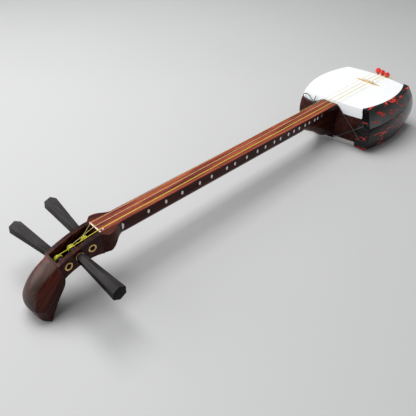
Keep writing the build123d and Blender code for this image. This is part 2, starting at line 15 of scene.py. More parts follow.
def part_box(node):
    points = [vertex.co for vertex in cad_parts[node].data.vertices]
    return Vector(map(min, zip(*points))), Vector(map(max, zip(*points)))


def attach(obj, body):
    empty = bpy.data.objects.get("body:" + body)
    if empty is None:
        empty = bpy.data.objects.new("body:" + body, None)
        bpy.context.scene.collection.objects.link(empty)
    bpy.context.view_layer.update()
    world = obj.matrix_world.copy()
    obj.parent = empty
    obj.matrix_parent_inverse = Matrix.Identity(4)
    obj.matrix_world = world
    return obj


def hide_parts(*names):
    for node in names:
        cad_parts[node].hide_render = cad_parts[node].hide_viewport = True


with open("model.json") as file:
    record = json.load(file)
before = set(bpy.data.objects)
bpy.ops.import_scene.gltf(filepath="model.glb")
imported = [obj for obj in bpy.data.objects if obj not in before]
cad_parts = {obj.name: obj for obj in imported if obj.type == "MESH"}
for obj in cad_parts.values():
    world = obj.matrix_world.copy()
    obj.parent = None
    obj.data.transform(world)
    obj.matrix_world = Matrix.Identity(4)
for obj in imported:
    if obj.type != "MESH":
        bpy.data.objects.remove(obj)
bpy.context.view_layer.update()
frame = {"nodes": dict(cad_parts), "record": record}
NODES = frame["nodes"]
NUMBERS = "123"  # pegs and strings, the thickest string first

# ---------------------------------------------------------------- node helpers

NOISE_SPAN = (0.3, 0.7)


class Shader:
    """A node material with its Principled shader, and short calls for the nodes that feed it."""

    def __init__(self, name, **constants):
        self.material = bpy.data.materials.new(name)
        self.material.use_nodes = True
        self.tree = self.material.node_tree
        self.bsdf = self.tree.nodes["Principled BSDF"]
        for key, value in constants.items():
            self.bsdf.inputs[key.replace("_", " ")].default_value = value

    def node(self, kind, **values):
        node = self.tree.nodes.new(kind)
        for key, value in values.items():
            setattr(node, key, value)
        return node

    def link(self, source, target):
        self.tree.links.new(source, target)

    def feed(self, node, key, value):
        """Sets an input to a number or colour, or links another node's output to it."""
        socket = node.inputs[key]
        if isinstance(value, bpy.types.NodeSocket):
            self.link(value, socket)
        else:
            socket.default_value = value

    def stretch(self, vector, scale=(1, 1, 1), place=(0, 0, 0), turn=(0, 0, 0)):
        """A vector scaled per axis, then turned and moved."""
        mapping = self.node("ShaderNodeMapping")
        self.link(vector, mapping.inputs["Vector"])
        mapping.inputs["Scale"].default_value = scale
        mapping.inputs["Rotation"].default_value = turn
        mapping.inputs["Location"].default_value = place
        return mapping.outputs["Vector"]

    def coords(self, scale=(1, 1, 1), place=(0, 0, 0), turn=(0, 0, 0)):
        """Object coordinates in metres, stretched."""
        return self.stretch(self.node("ShaderNodeTexCoord").outputs["Object"], scale, place, turn)

    def split(self, vector):
        """The x, y and z of a vector."""
        node = self.node("ShaderNodeSeparateXYZ")
        self.link(vector, node.inputs[0])
        return node.outputs

    def facing(self):
        """The x, y and z of the object-space normal."""
        return self.split(self.node("ShaderNodeTexCoord").outputs["Normal"])

    def noise(self, vector, scale, detail=3.0, rough=0.5, distortion=0.0):
        node = self.node("ShaderNodeTexNoise")
        self.feed(node, "Vector", vector)
        settings = {"Scale": scale, "Detail": detail, "Roughness": rough, "Distortion": distortion}
        for key, value in settings.items():
            node.inputs[key].default_value = value
        return node.outputs["Fac"]

    def cells(self, vector, scale):
        """The distance from the middle of the nearest of many scattered cells."""
        node = self.node("ShaderNodeTexVoronoi")
        self.feed(node, "Vector", vector)
        node.inputs["Scale"].default_value = scale
        return node.outputs["Distance"]

    def ramp(self, value, stops):
        """A colour from a number, by (place, colour) stops."""
        node = self.node("ShaderNodeValToRGB")
        elements = node.color_ramp.elements
        while len(elements) < len(stops):
            elements.new(0.5)
        for element, (place, colour) in zip(elements, stops):
            element.position = place
            element.color = (*colour, 1)
        self.link(value, node.inputs["Fac"])
        return node.outputs["Color"]

    def mix(self, factor, a, b, blend="MIX"):
        node = self.node("ShaderNodeMix", data_type="RGBA", blend_type=blend)
        for key, value in ((0, factor), (6, a), (7, b)):
            self.feed(node, key, (*value, 1) if isinstance(value, tuple) else value)
        return node.outputs[2]

    def maths(self, operation, a, b=0.0):
        node = self.node("ShaderNodeMath", operation=operation)
        self.feed(node, 0, a)
        self.feed(node, 1, b)
        return node.outputs[0]

    def times(self, a, b):
        return self.maths("MULTIPLY", a, b)

    def either(self, a, b):
        """The larger of two masks."""
        return self.maths("MAXIMUM", a, b)

    def map_range(self, value, low, high, to_low=0.0, to_high=1.0):
        """A number taken from low..high to to_low..to_high, held at the ends."""
        node = self.node("ShaderNodeMapRange")
        settings = {"Value": value, "From Min": low, "From Max": high, "To Min": to_low, "To Max": to_high}
        for key, number in settings.items():
            self.feed(node, key, number)
        return node.outputs[0]

    def over_noise(self, noise, low, high):
        """A number that goes from low to high over the usual span of a noise."""
        return self.map_range(noise, *NOISE_SPAN, low, high)

    def bump(self, height, distance, strength, under=None):
        """A normal from a height, on top of another normal where one is given."""
        node = self.node("ShaderNodeBump")
        node.inputs["Distance"].default_value = distance
        node.inputs["Strength"].default_value = strength
        self.link(height, node.inputs["Height"])
        if under is not None:
            self.link(under, node.inputs["Normal"])
        return node.outputs["Normal"]

    def eased(self, radius):
        """The normal as if sharp edges were rounded by this radius."""
        node = self.node("ShaderNodeBevel", samples=6)
        node.inputs["Radius"].default_value = radius
        return node.outputs["Normal"]

    def grey(self, value):
        """A grey colour from a number."""
        node = self.node("ShaderNodeCombineColor")
        for key in ("Red", "Green", "Blue"):
            self.feed(node, key, value)
        return node.outputs[0]

    def shaded(self, colour, shade):
        """A colour made darker or paler by a number."""
        return self.mix(1.0, colour, self.grey(shade), "MULTIPLY")

    def set(self, **values):
        for key, value in values.items():
            self.feed(self.bsdf, key.replace("_", " "), value)
        return self


# ---------------------------------------------------------------- materials

# Where the scroll starts, and the cover's crease: its height at x = 0 and its rise along x.
PEGBOX_LENGTH = 0.079
SCROLL_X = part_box("nut")[0].x - PEGBOX_LENGTH
CREASE_HEIGHT, CREASE_TILT = 0.0690, 0.1
# The painted highlight on the scroll's crown: its pale grey and how strongly it is mixed in.
CROWN_PAINTED_HIGHLIGHT, CROWN_HIGHLIGHT_SHARE = (0.108, 0.086, 0.074), 0.62


def neck_painted_shade(s, colour, shade, up):
    """Painted shade: the wings of the swelling below the nut, and the heel at the body, are painted darker.
    """
    place = s.split(s.coords())
    # Painted shade on the wings beyond the fingerboard's edges.
    wings = s.map_range(s.maths("ABSOLUTE", place[1]), 0.0150, 0.0172, 1.0, 0.24)
    shade = s.times(shade, s.either(wings, s.map_range(up, 0.6, 0.3, 0.0, 0.75)))
    # Painted shade on the heel near the body, except on its upward faces.
    heel = s.either(s.map_range(place[0], -0.21, -0.13, 1.0, 0.45), s.map_range(up, 0.5, 0.8))
    return colour, s.times(shade, heel)


def head_painted_light(s, colour, shade, up):
    """Painted highlight: the scroll's crown is painted pale grey along its front. Painted shade: the tops
    of the pegbox walls are painted darker.
    """
    facing = s.facing()
    # Painted highlight: front- and up-facing faces of the scroll are mixed towards a pale grey.
    front = s.map_range(facing[0], -0.25, -0.75)
    inner = s.times(s.map_range(facing[1], -0.62, -0.46), s.map_range(facing[1], 0.35, 0.0))
    crown = s.times(s.either(front, s.map_range(up, 0.3, 0.7)), inner)
    beyond_pegbox = s.map_range(s.split(s.coords())[0], SCROLL_X + 0.008, SCROLL_X)
    crown = s.times(s.times(crown, beyond_pegbox), CROWN_HIGHLIGHT_SHARE)
    # Painted shade on the upward faces of the pegbox walls.
    wall_top_painted_shade = s.times(s.maths("SUBTRACT", 1.0, beyond_pegbox), s.map_range(up, 0.5, 0.9, 0.0, 0.72))
    return s.mix(crown, colour, CROWN_PAINTED_HIGHLIGHT), s.times(shade, s.maths("SUBTRACT", 1.0, wall_top_painted_shade))


def wood(
    name, tones, side_shade, seed=0.0, gloss=0.22, coat=0.05, streak=0.5, dip=0.0, across=1.0, places=None
):
    """Polished hardwood: long dark streaks, ribbon figure and open pores, with painted shade that makes
    side faces darker.

    tones are dark, middle and light. streak is the share of fine lines in the figure, dip turns the
    grain down towards the head, and across is how fast it changes from side to side. places adds the
    painted shade and painted highlight of one part.
    """
    s = Shader(name, Coat_Weight=coat, Coat_Roughness=0.12, Specular_IOR_Level=0.07)
    grain = s.coords(turn=(0, dip, 0))
    broad_space = s.stretch(grain, (1.0, 7.0 * across, 7.0), (seed, seed * 0.7, seed * 0.3))
    broad = s.noise(broad_space, 9.0, 4.0, 0.55, 0.6)
    lines = s.noise(s.stretch(grain, (0.5, 24.0 * across, 24.0), (seed, 0, 0)), 26.0, 4.0, 0.62, 0.2)
    figure = s.maths("ADD", s.times(broad, 1 - streak), s.times(lines, streak))
    dark, middle, light = tones
    colour = s.ramp(figure, [(0.38, dark), (0.5, middle), (0.62, light)])
    pores = s.noise(s.coords(scale=(1.0, 22.0, 22.0)), 160.0, 2.0, 0.5)
    pore_mask = s.map_range(pores, 0.60, 0.68, 0.0, 0.6)
    colour = s.mix(pore_mask, colour, tuple(c * 0.3 for c in dark))
    # Painted shade: faces turned up keep their colour, and side and lower faces are painted darker, down to
    # side_shade.
    up = s.facing()[2]
    shade = s.map_range(up, 0.25, 0.85, side_shade, 1.0)
    if places:
        colour, shade = places(s, colour, shade, up)
    s.set(Base_Color=s.shaded(colour, shade), Roughness=s.over_noise(lines, gloss, gloss + 0.14))
    s.set(Normal=s.bump(s.maths("SUBTRACT", lines, pore_mask), 0.00004, 0.5, s.eased(0.0007)))
    return s.material


def ebony():
    """Peg wood: near black, satin, with grey-brown streaks along the handle; painted highlight makes upper
    facets paler and painted shade makes lower facets darker.
    """
    s = Shader("peg_ebony", Coat_Weight=0.03, Coat_Roughness=0.2, Specular_IOR_Level=0.08)
    lines = s.noise(s.coords(scale=(14.0, 1.0, 14.0)), 28.0, 5.0, 0.6, 0.3)
    black, brown, grey = (0.004, 0.004, 0.004), (0.009, 0.008, 0.008), (0.017, 0.0145, 0.0145)
    colour = s.ramp(lines, [(0.3, black), (0.55, brown), (0.75, grey)])
    # Painted highlight and painted shade by facing: upper facets up to 3.6 times paler, lower ones down to
    # 0.12.
    shade = s.map_range(s.facing()[2], 0.15, 0.7, 0.12, 3.6)
    s.set(Base_Color=s.shaded(colour, shade), Roughness=s.over_noise(lines, 0.3, 0.46))
    s.set(Normal=s.bump(lines, 0.00004, 0.5))
    return s.material


def skin(name, tint, shade, rough=0.36):
    """Stretched skin: cloudy translucent tone, fine fibres and faint pores."""
    s = Shader(name, Coat_Weight=0.15, Coat_Roughness=0.2, Subsurface_Weight=0.08, Subsurface_Scale=0.002)
    cloud = s.noise(s.coords(), 14.0, 5.0, 0.6, 0.5)
    fibre = s.noise(s.coords(), 420.0, 3.0, 0.6)
    pores = s.cells(s.coords(), 900.0)
    s.set(Base_Color=s.mix(s.map_range(cloud, 0.3, 0.75), tint, shade))
    s.set(Roughness=s.over_noise(fibre, rough - 0.05, rough + 0.12))
    s.set(Normal=s.bump(s.maths("ADD", fibre, s.times(pores, 0.4)), 0.00003, 0.6))
    return s.material


def lacquer():
    """Black lacquer with red patches rubbed through in level streaks, and a painted grey reflection on its
    near slope above the crease, greyer from the lip to the crease.
    """
    s = Shader("lacquer_black_red", Coat_Weight=0.22, Coat_Roughness=0.04, Specular_IOR_Level=0.16)
    patches = s.noise(s.coords(scale=(1.0, 1.0, 4.2), place=(0.37, 0.0, 0.12)), 30.0, 2.0, 0.5, 0.8)
    flecks = s.noise(s.coords(scale=(1.0, 1.0, 3.0), place=(0.07, 0, 0)), 70.0, 3.0, 0.6, 0.8)
    break_up = s.noise(s.coords(scale=(1.0, 1.0, 2.0)), 150.0, 4.0, 0.65, 0.5)
    ragged = s.times(s.maths("SUBTRACT", break_up, 0.5), 0.16)
    field = s.either(s.maths("ADD", patches, ragged), s.maths("SUBTRACT", flecks, 0.07))
    mask = s.map_range(field, 0.612, 0.626)
    deep, clear, bright = (0.30, 0.012, 0.008), (0.66, 0.030, 0.018), (0.80, 0.06, 0.035)
    red = s.ramp(break_up, [(0.3, deep), (0.5, clear), (0.7, bright)])
    # Painted reflection: the near-facing slope above the crease is painted grey, paler towards the crease.
    place = s.split(s.coords())
    level = s.maths("SUBTRACT", place[2], s.times(place[0], CREASE_TILT))
    above = s.map_range(level, CREASE_HEIGHT, CREASE_HEIGHT + 0.0018)
    slope_painted_reflection = s.map_range(level, 0.098, 0.070, 0.034, 0.150)
    upper = s.times(above, s.map_range(s.facing()[1], -0.5, -0.8))
    cloud = s.map_range(s.noise(s.coords(), 60.0, 3.0), 0.4, 0.8, 0.8, 1.2)
    tone = s.times(s.maths("ADD", s.times(upper, slope_painted_reflection), 0.004), cloud)
    s.set(Base_Color=s.mix(mask, s.grey(tone), red), Roughness=s.map_range(mask, 0.0, 1.0, 0.14, 0.3))
    s.set(Normal=s.bump(s.map_range(field, 0.60, 0.65), 0.00008, 0.5, s.eased(0.0014)))
    return s.material


def brass():
    """Rubbed brass with darker tarnish."""
    s = Shader("brass_ring", Metallic=1.0)
    scratches = s.noise(s.coords(scale=(1, 8, 1)), 700.0, 3.0, 0.6)
    tarnish = s.noise(s.coords(), 260.0, 4.0, 0.6)
    s.set(Base_Color=s.mix(s.map_range(tarnish, 0.35, 0.7), (0.86, 0.60, 0.25), (0.55, 0.33, 0.12)))
    s.set(Roughness=s.over_noise(scratches, 0.16, 0.34), Normal=s.bump(scratches, 0.00002, 0.4))
    return s.material


def steel():
    """Satin steel, scratched across its axis."""
    s = Shader("satin_steel", Metallic=1.0)
    scratches = s.noise(s.coords(scale=(1, 1, 12)), 600.0, 3.0, 0.6)
    s.set(Base_Color=s.mix(scratches, (0.50, 0.50, 0.52), (0.68, 0.68, 0.70)))
    s.set(Roughness=s.over_noise(scratches, 0.22, 0.4), Normal=s.bump(scratches, 0.00002, 0.4))
    return s.material


def bone(name, pale):
    """Polished bone or ivory with a faint darker grain."""
    s = Shader(name, Coat_Weight=0.5, Coat_Roughness=0.1, Subsurface_Weight=0.1, Subsurface_Scale=0.001)
    grain = s.noise(s.coords(scale=(6, 1, 6)), 300.0, 4.0, 0.55, 0.5)
    s.set(Base_Color=s.mix(s.map_range(grain, 0.35, 0.7), pale, tuple(c * 0.84 for c in pale)))
    s.set(Roughness=s.over_noise(grain, 0.24, 0.36), Normal=s.bump(grain, 0.00002, 0.4))
    return s.material


def pearl():
    """Position marks: pale shell with grey cloud and a slight sheen."""
    s = Shader("mark_shell", Coat_Weight=0.6, Coat_Roughness=0.1, Specular_IOR_Level=0.6)
    cloud = s.noise(s.coords(), 520.0, 3.0, 0.6, 1.2)
    grey, pale, white = (0.50, 0.48, 0.52), (0.88, 0.86, 0.89), (1.0, 0.98, 0.97)
    s.set(Base_Color=s.ramp(cloud, [(0.36, grey), (0.46, pale), (0.62, white)]))
    s.set(Roughness=s.over_noise(cloud, 0.22, 0.36))
    return s.material


def bamboo():
    """Smoked bamboo with fibres along the bridge."""
    s = Shader("bamboo", Coat_Weight=0.3, Coat_Roughness=0.15)
    fibre = s.noise(s.coords(scale=(20.0, 1.0, 20.0)), 60.0, 4.0, 0.6)
    dark, middle, light = (0.36, 0.17, 0.05), (0.62, 0.36, 0.12), (0.80, 0.54, 0.22)
    s.set(Base_Color=s.ramp(fibre, [(0.35, dark), (0.5, middle), (0.66, light)]))
    s.set(Roughness=s.over_noise(fibre, 0.3, 0.5), Normal=s.bump(fibre, 0.00005, 0.5))
    return s.material


def yarn(name, dark, light, rough=0.45, sheen=0.3):
    """Silk yarn: fine fibres, darker between strands."""
    s = Shader(name, Sheen_Weight=sheen, Sheen_Roughness=0.4)
    fibre = s.noise(s.coords(), 900.0, 4.0, 0.65, 0.4)
    s.set(Base_Color=s.mix(s.map_range(fibre, 0.3, 0.68), dark, light))
    s.set(Roughness=s.over_noise(fibre, rough - 0.08, rough + 0.1), Normal=s.bump(fibre, 0.00005, 0.6))
    return s.material


NECK_WOOD = wood(
    "neck_redwood", [(0.10, 0.020, 0.020), (0.27, 0.055, 0.038), (0.46, 0.13, 0.055)], 0.26,
    places=neck_painted_shade,
)
# Painted shade: the head takes the neck's redwood in much darker tones.
HEAD_WOOD = wood(
    "head_redwood", [(0.022, 0.005, 0.005), (0.075, 0.015, 0.010), (0.24, 0.045, 0.024)], 0.5, seed=0.43,
    gloss=0.3, coat=0.14, streak=0.6, dip=math.radians(40), across=0.2, places=head_painted_light,
)
BODY_WOOD = wood(
    "body_redwood", [(0.018, 0.005, 0.004), (0.060, 0.015, 0.010), (0.11, 0.028, 0.017)], 0.8, seed=0.81,
)
EBONY = ebony()
SKIN_FRONT = skin("skin_front", (0.92, 0.92, 0.935), (0.89, 0.89, 0.90))
SKIN_BACK = skin("skin_back", (0.66, 0.655, 0.63), (0.54, 0.535, 0.51), 0.45)
LACQUER = lacquer()
BRASS = brass()
STEEL = steel()
BONE = bone("bone_ivory", (0.92, 0.76, 0.64))
PEARL = pearl()
BAMBOO = bamboo()
BONE_WHITE = bone("bone_white", (0.90, 0.88, 0.82))
STRING = yarn("string_silk", (0.72, 0.58, 0.14), (1.0, 0.90, 0.34), rough=0.32, sheen=0.15)
STRING_THICK = yarn("string_silk_thick", (0.82, 0.72, 0.02), (1.0, 0.96, 0.06), rough=0.32, sheen=0.15)
STRING_END = yarn("string_silk_end", (0.70, 0.28, 0.02), (0.92, 0.52, 0.05), rough=0.36, sheen=0.15)
RED_SILK = yarn("neo_silk", (0.60, 0.018, 0.014), (0.95, 0.055, 0.040), sheen=0.2)
BLACK_CORD = yarn("cover_cord_silk", (0.008, 0.008, 0.009), (0.060, 0.060, 0.065), rough=0.3)
EYELET = yarn("eyelet_black", (0.008, 0.008, 0.009), (0.030, 0.028, 0.028), rough=0.2, sheen=0.0)

LOOKS = {
    "neck_upper": NECK_WOOD,
    "neck_middle": NECK_WOOD,
    "neck_lower": NECK_WOOD,
    "head": HEAD_WOOD,
    "panel_neck_side": BODY_WOOD,
    "panel_tail_side": BODY_WOOD,
    "panel_far_side": BODY_WOOD,
    "panel_arm_side": BODY_WOOD,
    "skin_front": SKIN_FRONT,
    "skin_back": SKIN_BACK,
    "arm_cover": LACQUER,
    "cord_eyes": BLACK_CORD,
    "cover_cord": BLACK_CORD,
    "cover_bow": BLACK_CORD,
    "nut": BONE,
    "position_marks": PEARL,
    "bridge_foot": BAMBOO,
    "bridge_saddle": BONE,
    "neo_knots": RED_SILK,
    "neo_cord": RED_SILK,
    "neo_collar": RED_SILK,
    "sawari_screw": STEEL,
}
for number in NUMBERS:
    LOOKS[f"peg_{number}"] = EBONY
    LOOKS[f"winding_{number}"] = STRING
    LOOKS[f"string_{number}"] = STRING
    LOOKS[f"peg_ring_near_{number}"] = BRASS
    LOOKS[f"peg_ring_far_{number}"] = BRASS

for node_name, look in LOOKS.items():
    mesh = NODES[node_name].data
    mesh.materials.clear()
    mesh.materials.append(look)

# ---------------------------------------------------------------- mesh building


def millimetres(*values):
    return Vector(values) / 1000


def spread(low, high, count):
    """Numbers from low to high in equal steps, both ends included."""
    return [low + (high - low) * i / count for i in range(count + 1)]


def frames_along(points, closed=False):
    """(place, u, v) at each point, with u and v across the run and as steady as they can be."""
    count, frames = len(points), []
    normal = None
    for index, place in enumerate(points):
        before = points[index - 1] if index or closed else place
        after = points[(index + 1) % count] if index + 1 < count or closed else place
        tangent = (after - before).normalized()
        normal = tangent.orthogonal() if normal is None else normal - tangent * normal.dot(tangent)
        normal.normalize()
        frames.append((place, normal.copy(), tangent.cross(normal)))
    return frames


def turned(frames, sides, radius_at):
    """Rings of points round (place, u, v) frames; radius_at gives the (angle, radius) of a ring's point."""
    rings = []
    for index, (place, u, v) in enumerate(frames):
        ring = []
        for side in range(sides):
            angle, radius = radius_at(index, 2 * math.pi * side / sides)
            ring.append(place + (u * math.cos(angle) + v * math.sin(angle)) * radius)
        rings.append(ring)
    return rings


def place_piece(name, mesh, look, body, nodes=(), smooth_below=35):
    """An object with its material, riding on its body and standing for the CAD nodes it replaces."""
    mesh.materials.clear()
    mesh.materials.append(look)
    mesh.polygons.foreach_set("use_smooth", [True] * len(mesh.polygons))
    mesh.set_sharp_from_angle(angle=math.radians(smooth_below))
    mesh.update()
    piece = bpy.data.objects.new(name, mesh)
    bpy.context.scene.collection.objects.link(piece)
    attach(piece, body)
    if nodes:
        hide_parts(*nodes)
    return piece


class Build:
    """Collects rings and faces of one mesh."""

    def __init__(self):
        self.verts, self.faces = [], []

    def skin(self, rings, closed=False):
        """Joins rings of equal count with quads, and closes the two ends unless the run is closed."""
        first, count = len(self.verts), len(rings[0])
        for ring in rings:
            self.verts += [tuple(point) for point in ring]
        pairs = [(i, i + 1) for i in range(len(rings) - 1)]
        if closed:
            pairs.append((len(rings) - 1, 0))
        for a, b in pairs:
            for side in range(count):
                other = (side + 1) % count
                low, high = first + a * count, first + b * count
                self.faces.append((low + side, low + other, high + other, high + side))
        if not closed:
            self.faces.append(tuple(first + side for side in reversed(range(count))))
            last = first + (len(rings) - 1) * count
            self.faces.append(tuple(last + side for side in range(count)))
        return self

    def rope(self, points, radius, lobes, pitch, groove, sides, closed=False):
        """Twisted cord along a run of points: a lobed section that turns once per pitch."""
        travelled = [0.0]
        for before, after in zip(points, points[1:]):
            travelled.append(travelled[-1] + (after - before).length)

        def radius_at(index, angle):
            hollow = groove * (0.5 - 0.5 * math.cos(lobes * angle))
            return angle + 2 * math.pi * travelled[index] / pitch, radius * (1 - hollow)

        return self.skin(turned(frames_along(points, closed), sides, radius_at), closed)

    def lathe(self, axis, profile, sides, closed=False):
        """A profile of (distance, radius) turned round an (origin, x, y, z) axis."""
        origin, x, y, z = axis
        frames = [(origin + z * distance, x, y) for distance, _ in profile]
        rings = turned(frames, sides, lambda index, angle: (angle, profile[index][1]))
        return self.skin(rings, closed)

    def bar(self, places, section):
        """A bar along y: section(y) gives its outline as (x, z) points."""
        return self.skin([[Vector((x, y, z)) for x, z in section(y)] for y in places])

    def piece(self, name, look, body, slot, nodes=(), smooth_below=35):
        """The finished object."""
        mesh = bpy.data.meshes.new(name)
        mesh.from_pydata(self.verts, [], self.faces)
        shell = bmesh.new()
        shell.from_mesh(mesh)
        bmesh.ops.recalc_face_normals(shell, faces=shell.faces)
        shell.to_mesh(mesh)
        shell.free()
        return place_piece(name, mesh, look, body, nodes, smooth_below)


def stepped(corners, step):
    """Points a step apart along straight runs between corners."""
    points = []
    for start, end in zip(corners, corners[1:]):
        count = max(1, round((end - start).length / step))
        points += [start.lerp(end, i / count) for i in range(count)]
    return points + [corners[-1]]


def spline(corners, step=0.0006):
    """Points along the smooth curve that has these corners as its control points."""
    curve = bpy.data.curves.new("route", "CURVE")
    curve.dimensions = "3D"
    line = curve.splines.new("NURBS")
    line.points.add(len(corners) - 1)
    for point, corner in zip(line.points, corners):
        point.co = (*corner, 1)
    line.order_u = 3
    line.use_endpoint_u = True
    curve.resolution_u = 24
    holder = bpy.data.objects.new("route", curve)
    bpy.context.scene.collection.objects.link(holder)
    bpy.context.view_layer.update()
    depsgraph = bpy.context.evaluated_depsgraph_get()
    flat = bpy.data.meshes.new_from_object(holder.evaluated_get(depsgraph))
    places = [v.co.copy() for v in flat.vertices]
    bpy.data.objects.remove(holder)
    bpy.data.meshes.remove(flat)
    bpy.data.curves.remove(curve)
    return stepped(places, step)


def softened(name, node, width, body, sharp_above=28):
    """A copy of a CAD node's own shape with its sharp edges rounded, standing for the node.

    Where the rounding would throw a corner off the shape, the corner is put back on its surface.
    """
    shell = bmesh.new()
    shell.from_mesh(NODES[node].data)
    bmesh.ops.remove_doubles(shell, verts=shell.verts, dist=1e-6)
    inner = [edge for edge in shell.edges if len(edge.link_faces) == 2]
    sharp = [edge for edge in inner if edge.calc_face_angle() > math.radians(sharp_above)]
    surface = BVHTree.FromBMesh(shell)
    bmesh.ops.bevel(
        shell, geom=sharp, offset=width, segments=2, profile=0.5, affect="EDGES", clamp_overlap=False
    )
    for vert in shell.verts:
        nearest, _, _, distance = surface.find_nearest(vert.co)
        if distance > 0.5 * width:
            vert.co = nearest
    bmesh.ops.triangulate(shell, faces=[face for face in shell.faces if len(face.verts) > 4])
    mesh = bpy.data.meshes.new(name)
    shell.to_mesh(mesh)
    shell.free()
    piece = place_piece(name, mesh, LOOKS[node], body, [node])
    weighted = piece.modifiers.new("weighted", "WEIGHTED_NORMAL")
    weighted.keep_sharp = True
    depsgraph = bpy.context.evaluated_depsgraph_get()
    piece.data = bpy.data.meshes.new_from_object(piece.evaluated_get(depsgraph))
    piece.modifiers.clear()


# ---------------------------------------------------------------- pegs, rings, coils and strings

# Per string: its radius, the distances along the peg from the pegbox's mid-plane to its wall and to the
# handle's end, and how far the handle's hexagon is turned. Metres.
STRING_RADII = {"1": 0.0006, "2": 0.00045, "3": 0.00035}
PEG_REACH = {"1": 0.02016, "2": 0.02001, "3": 0.02003}
PEG_END = {"1": 0.11793, "2": 0.11703, "3": 0.11716}
HEX_TURNS = {"1": math.radians(39), "2": math.radians(26), "3": math.radians(39)}
# Corners of each string in millimetres: on its coil, the nut, the bridge and its knot.
STRING_ROUTES = {
    "1": [(-790.78, 4.56, 78.46), (-723.59, -11.7, 100.44), (41.8, -19.2, 102.1), (101.2, -22.0, 97.0)],
    "2": [(-768.41, 3.6, 84.5), (-723.59, -0.5, 100.29), (41.8, -7.9, 101.95), (101.2, -9.3, 99.1)],
    "3": [(-746.37, 4.99, 86.07), (-723.59, 10.4, 100.19), (41.8, 3.5, 101.85), (101.2, 3.0, 100.8)],
}
NUT_STOP, BRIDGE_STOP = 1, 2
STRING_LOBES, STRING_PITCH, STRING_GROOVE, STRING_SIDES = 3, 0.0045, 0.1, 9
SHAFT_TIP, SHAFT_HANDLE = 0.0039, 0.0046
HANDLE_GAP = 0.0028
HANDLE_NECK, HANDLE_END = 0.0076, 0.0123
HANDLE_WAIST = 0.0001
HANDLE_EASE = 0.0007 * 0.9
RING_DEPTH, RING_RADIUS, RING_ROUND = 0.0068, 0.0070, 0.0009
RING_CLEARANCE = 0.00012
COIL_HALF, COIL_LAYERS, COIL_STEPS = 0.0031, 3, 22


def peg_axis(number):
    """(origin, x, y, z) of a peg: z towards its handle, from the joint in the record."""
    joints = frame["record"]["behaviour"]["joints"]
    joint = next(j for j in joints if j["name"] == f"peg_{number}_turn")
    z = Vector(joint["axis"]).normalized()
    x = Vector((-1, 0, 0))
    x = (x - z * x.dot(z)).normalized()
    return Vector(joint["pos_m"]), x, z.cross(x), z


def shaft_radius(distance, reach):
    """The shaft's taper, at a distance from the pegbox's mid-plane towards the handle."""
    return SHAFT_TIP + (SHAFT_HANDLE - SHAFT_TIP) * (distance + reach) / (2 * reach)


def peg(number):
    """A tapered shaft, a waisted collar and a six-sided handle with eased edges and a low crowned end."""
    axis = peg_axis(number)
    origin, x, y, z = axis
    reach, end = PEG_REACH[number], PEG_END[number]
    neck = reach + HANDLE_GAP
    tip = -reach + 0.0008
    build = Build()
    build.lathe(axis, [
        (tip, 0.0034),
        (tip + 0.0004, shaft_radius(tip, reach)),
        (0, shaft_radius(0, reach)),
        (neck - 0.0018, SHAFT_HANDLE),
        (neck - 0.0008, 0.0050),
        (neck - 0.0002, 0.0058),
        (neck + 0.0002, 0.0062),
    ], 40)

    def hexagon(distance, radius, inset):
        """Six corners, each cut back by the easing in four points."""
        ring = []
        angles = [HEX_TURNS[number] + k * math.pi / 3 for k in range(6)]
        points = [Vector((math.cos(a), math.sin(a))) * (radius - inset) for a in angles]
        for index, point in enumerate(points):
            before = (points[index - 1] - point).normalized()
            after = (points[(index + 1) % 6] - point).normalized()
            for side, share in ((before, 1.0), (before, 0.35), (after, 0.35), (after, 1.0)):
                ring.append(point + side * HANDLE_EASE * share)
        return [origin + z * distance + x * p.x + y * p.y for p in ring]

    root = [(0.0, 0.0010), (0.0004, 0.0004), (0.0012, 0.0)]
    sections = [(neck + beyond, HANDLE_NECK, inset) for beyond, inset in root]
    for share in (0.2, 0.4, 0.6, 0.8):
        radius = HANDLE_NECK + (HANDLE_END - HANDLE_NECK) * share - HANDLE_WAIST * math.sin(math.pi * share)
        sections.append((neck + (end - neck) * share, radius, 0.0))
    crown = [(-0.0008, 0.0), (-0.0003, 0.00012), (0.0, 0.0006), (0.0002, 0.003), (0.0003, 0.008)]
    sections += [(end + beyond, HANDLE_END, inset) for beyond, inset in crown]
    build.skin([hexagon(*section) for section in sections])
    build.piece(f"peg_{number}_turned", EBONY, f"peg_{number}", "peg_wood", [f"peg_{number}"], 22)


def ring(number, side):
    """A brass liner's rounded flange, its bore and its tube in the wall."""
    origin, x, y, z = peg_axis(number)
    reach = PEG_REACH[number]
    near = 1 if number == "2" else -1
    outward = near if side == "near" else -near
    axis = (origin + z * outward * reach, x, y, z * outward)
    bore = shaft_radius(outward * reach, reach) + RING_CLEARANCE
    profile = [(-RING_DEPTH, bore), (0.0002, bore), (0.0006, bore + 0.0002), (0.0008, bore + 0.0006)]
    for angle in spread(0.0, math.pi / 2, 6):
        out = RING_RADIUS - RING_ROUND + RING_ROUND * math.sin(angle)
        profile.append((0.0001 + RING_ROUND * math.cos(angle), out))
    profile += [(-0.0011, RING_RADIUS), (-0.0012, 0.0058), (-RING_DEPTH, 0.0056)]
    node = f"peg_ring_{side}_{number}"
    build = Build().lathe(axis, profile, 64, closed=True)
    build.piece(f"{node}_turned", BRASS, "body", "brass", [node], 40)


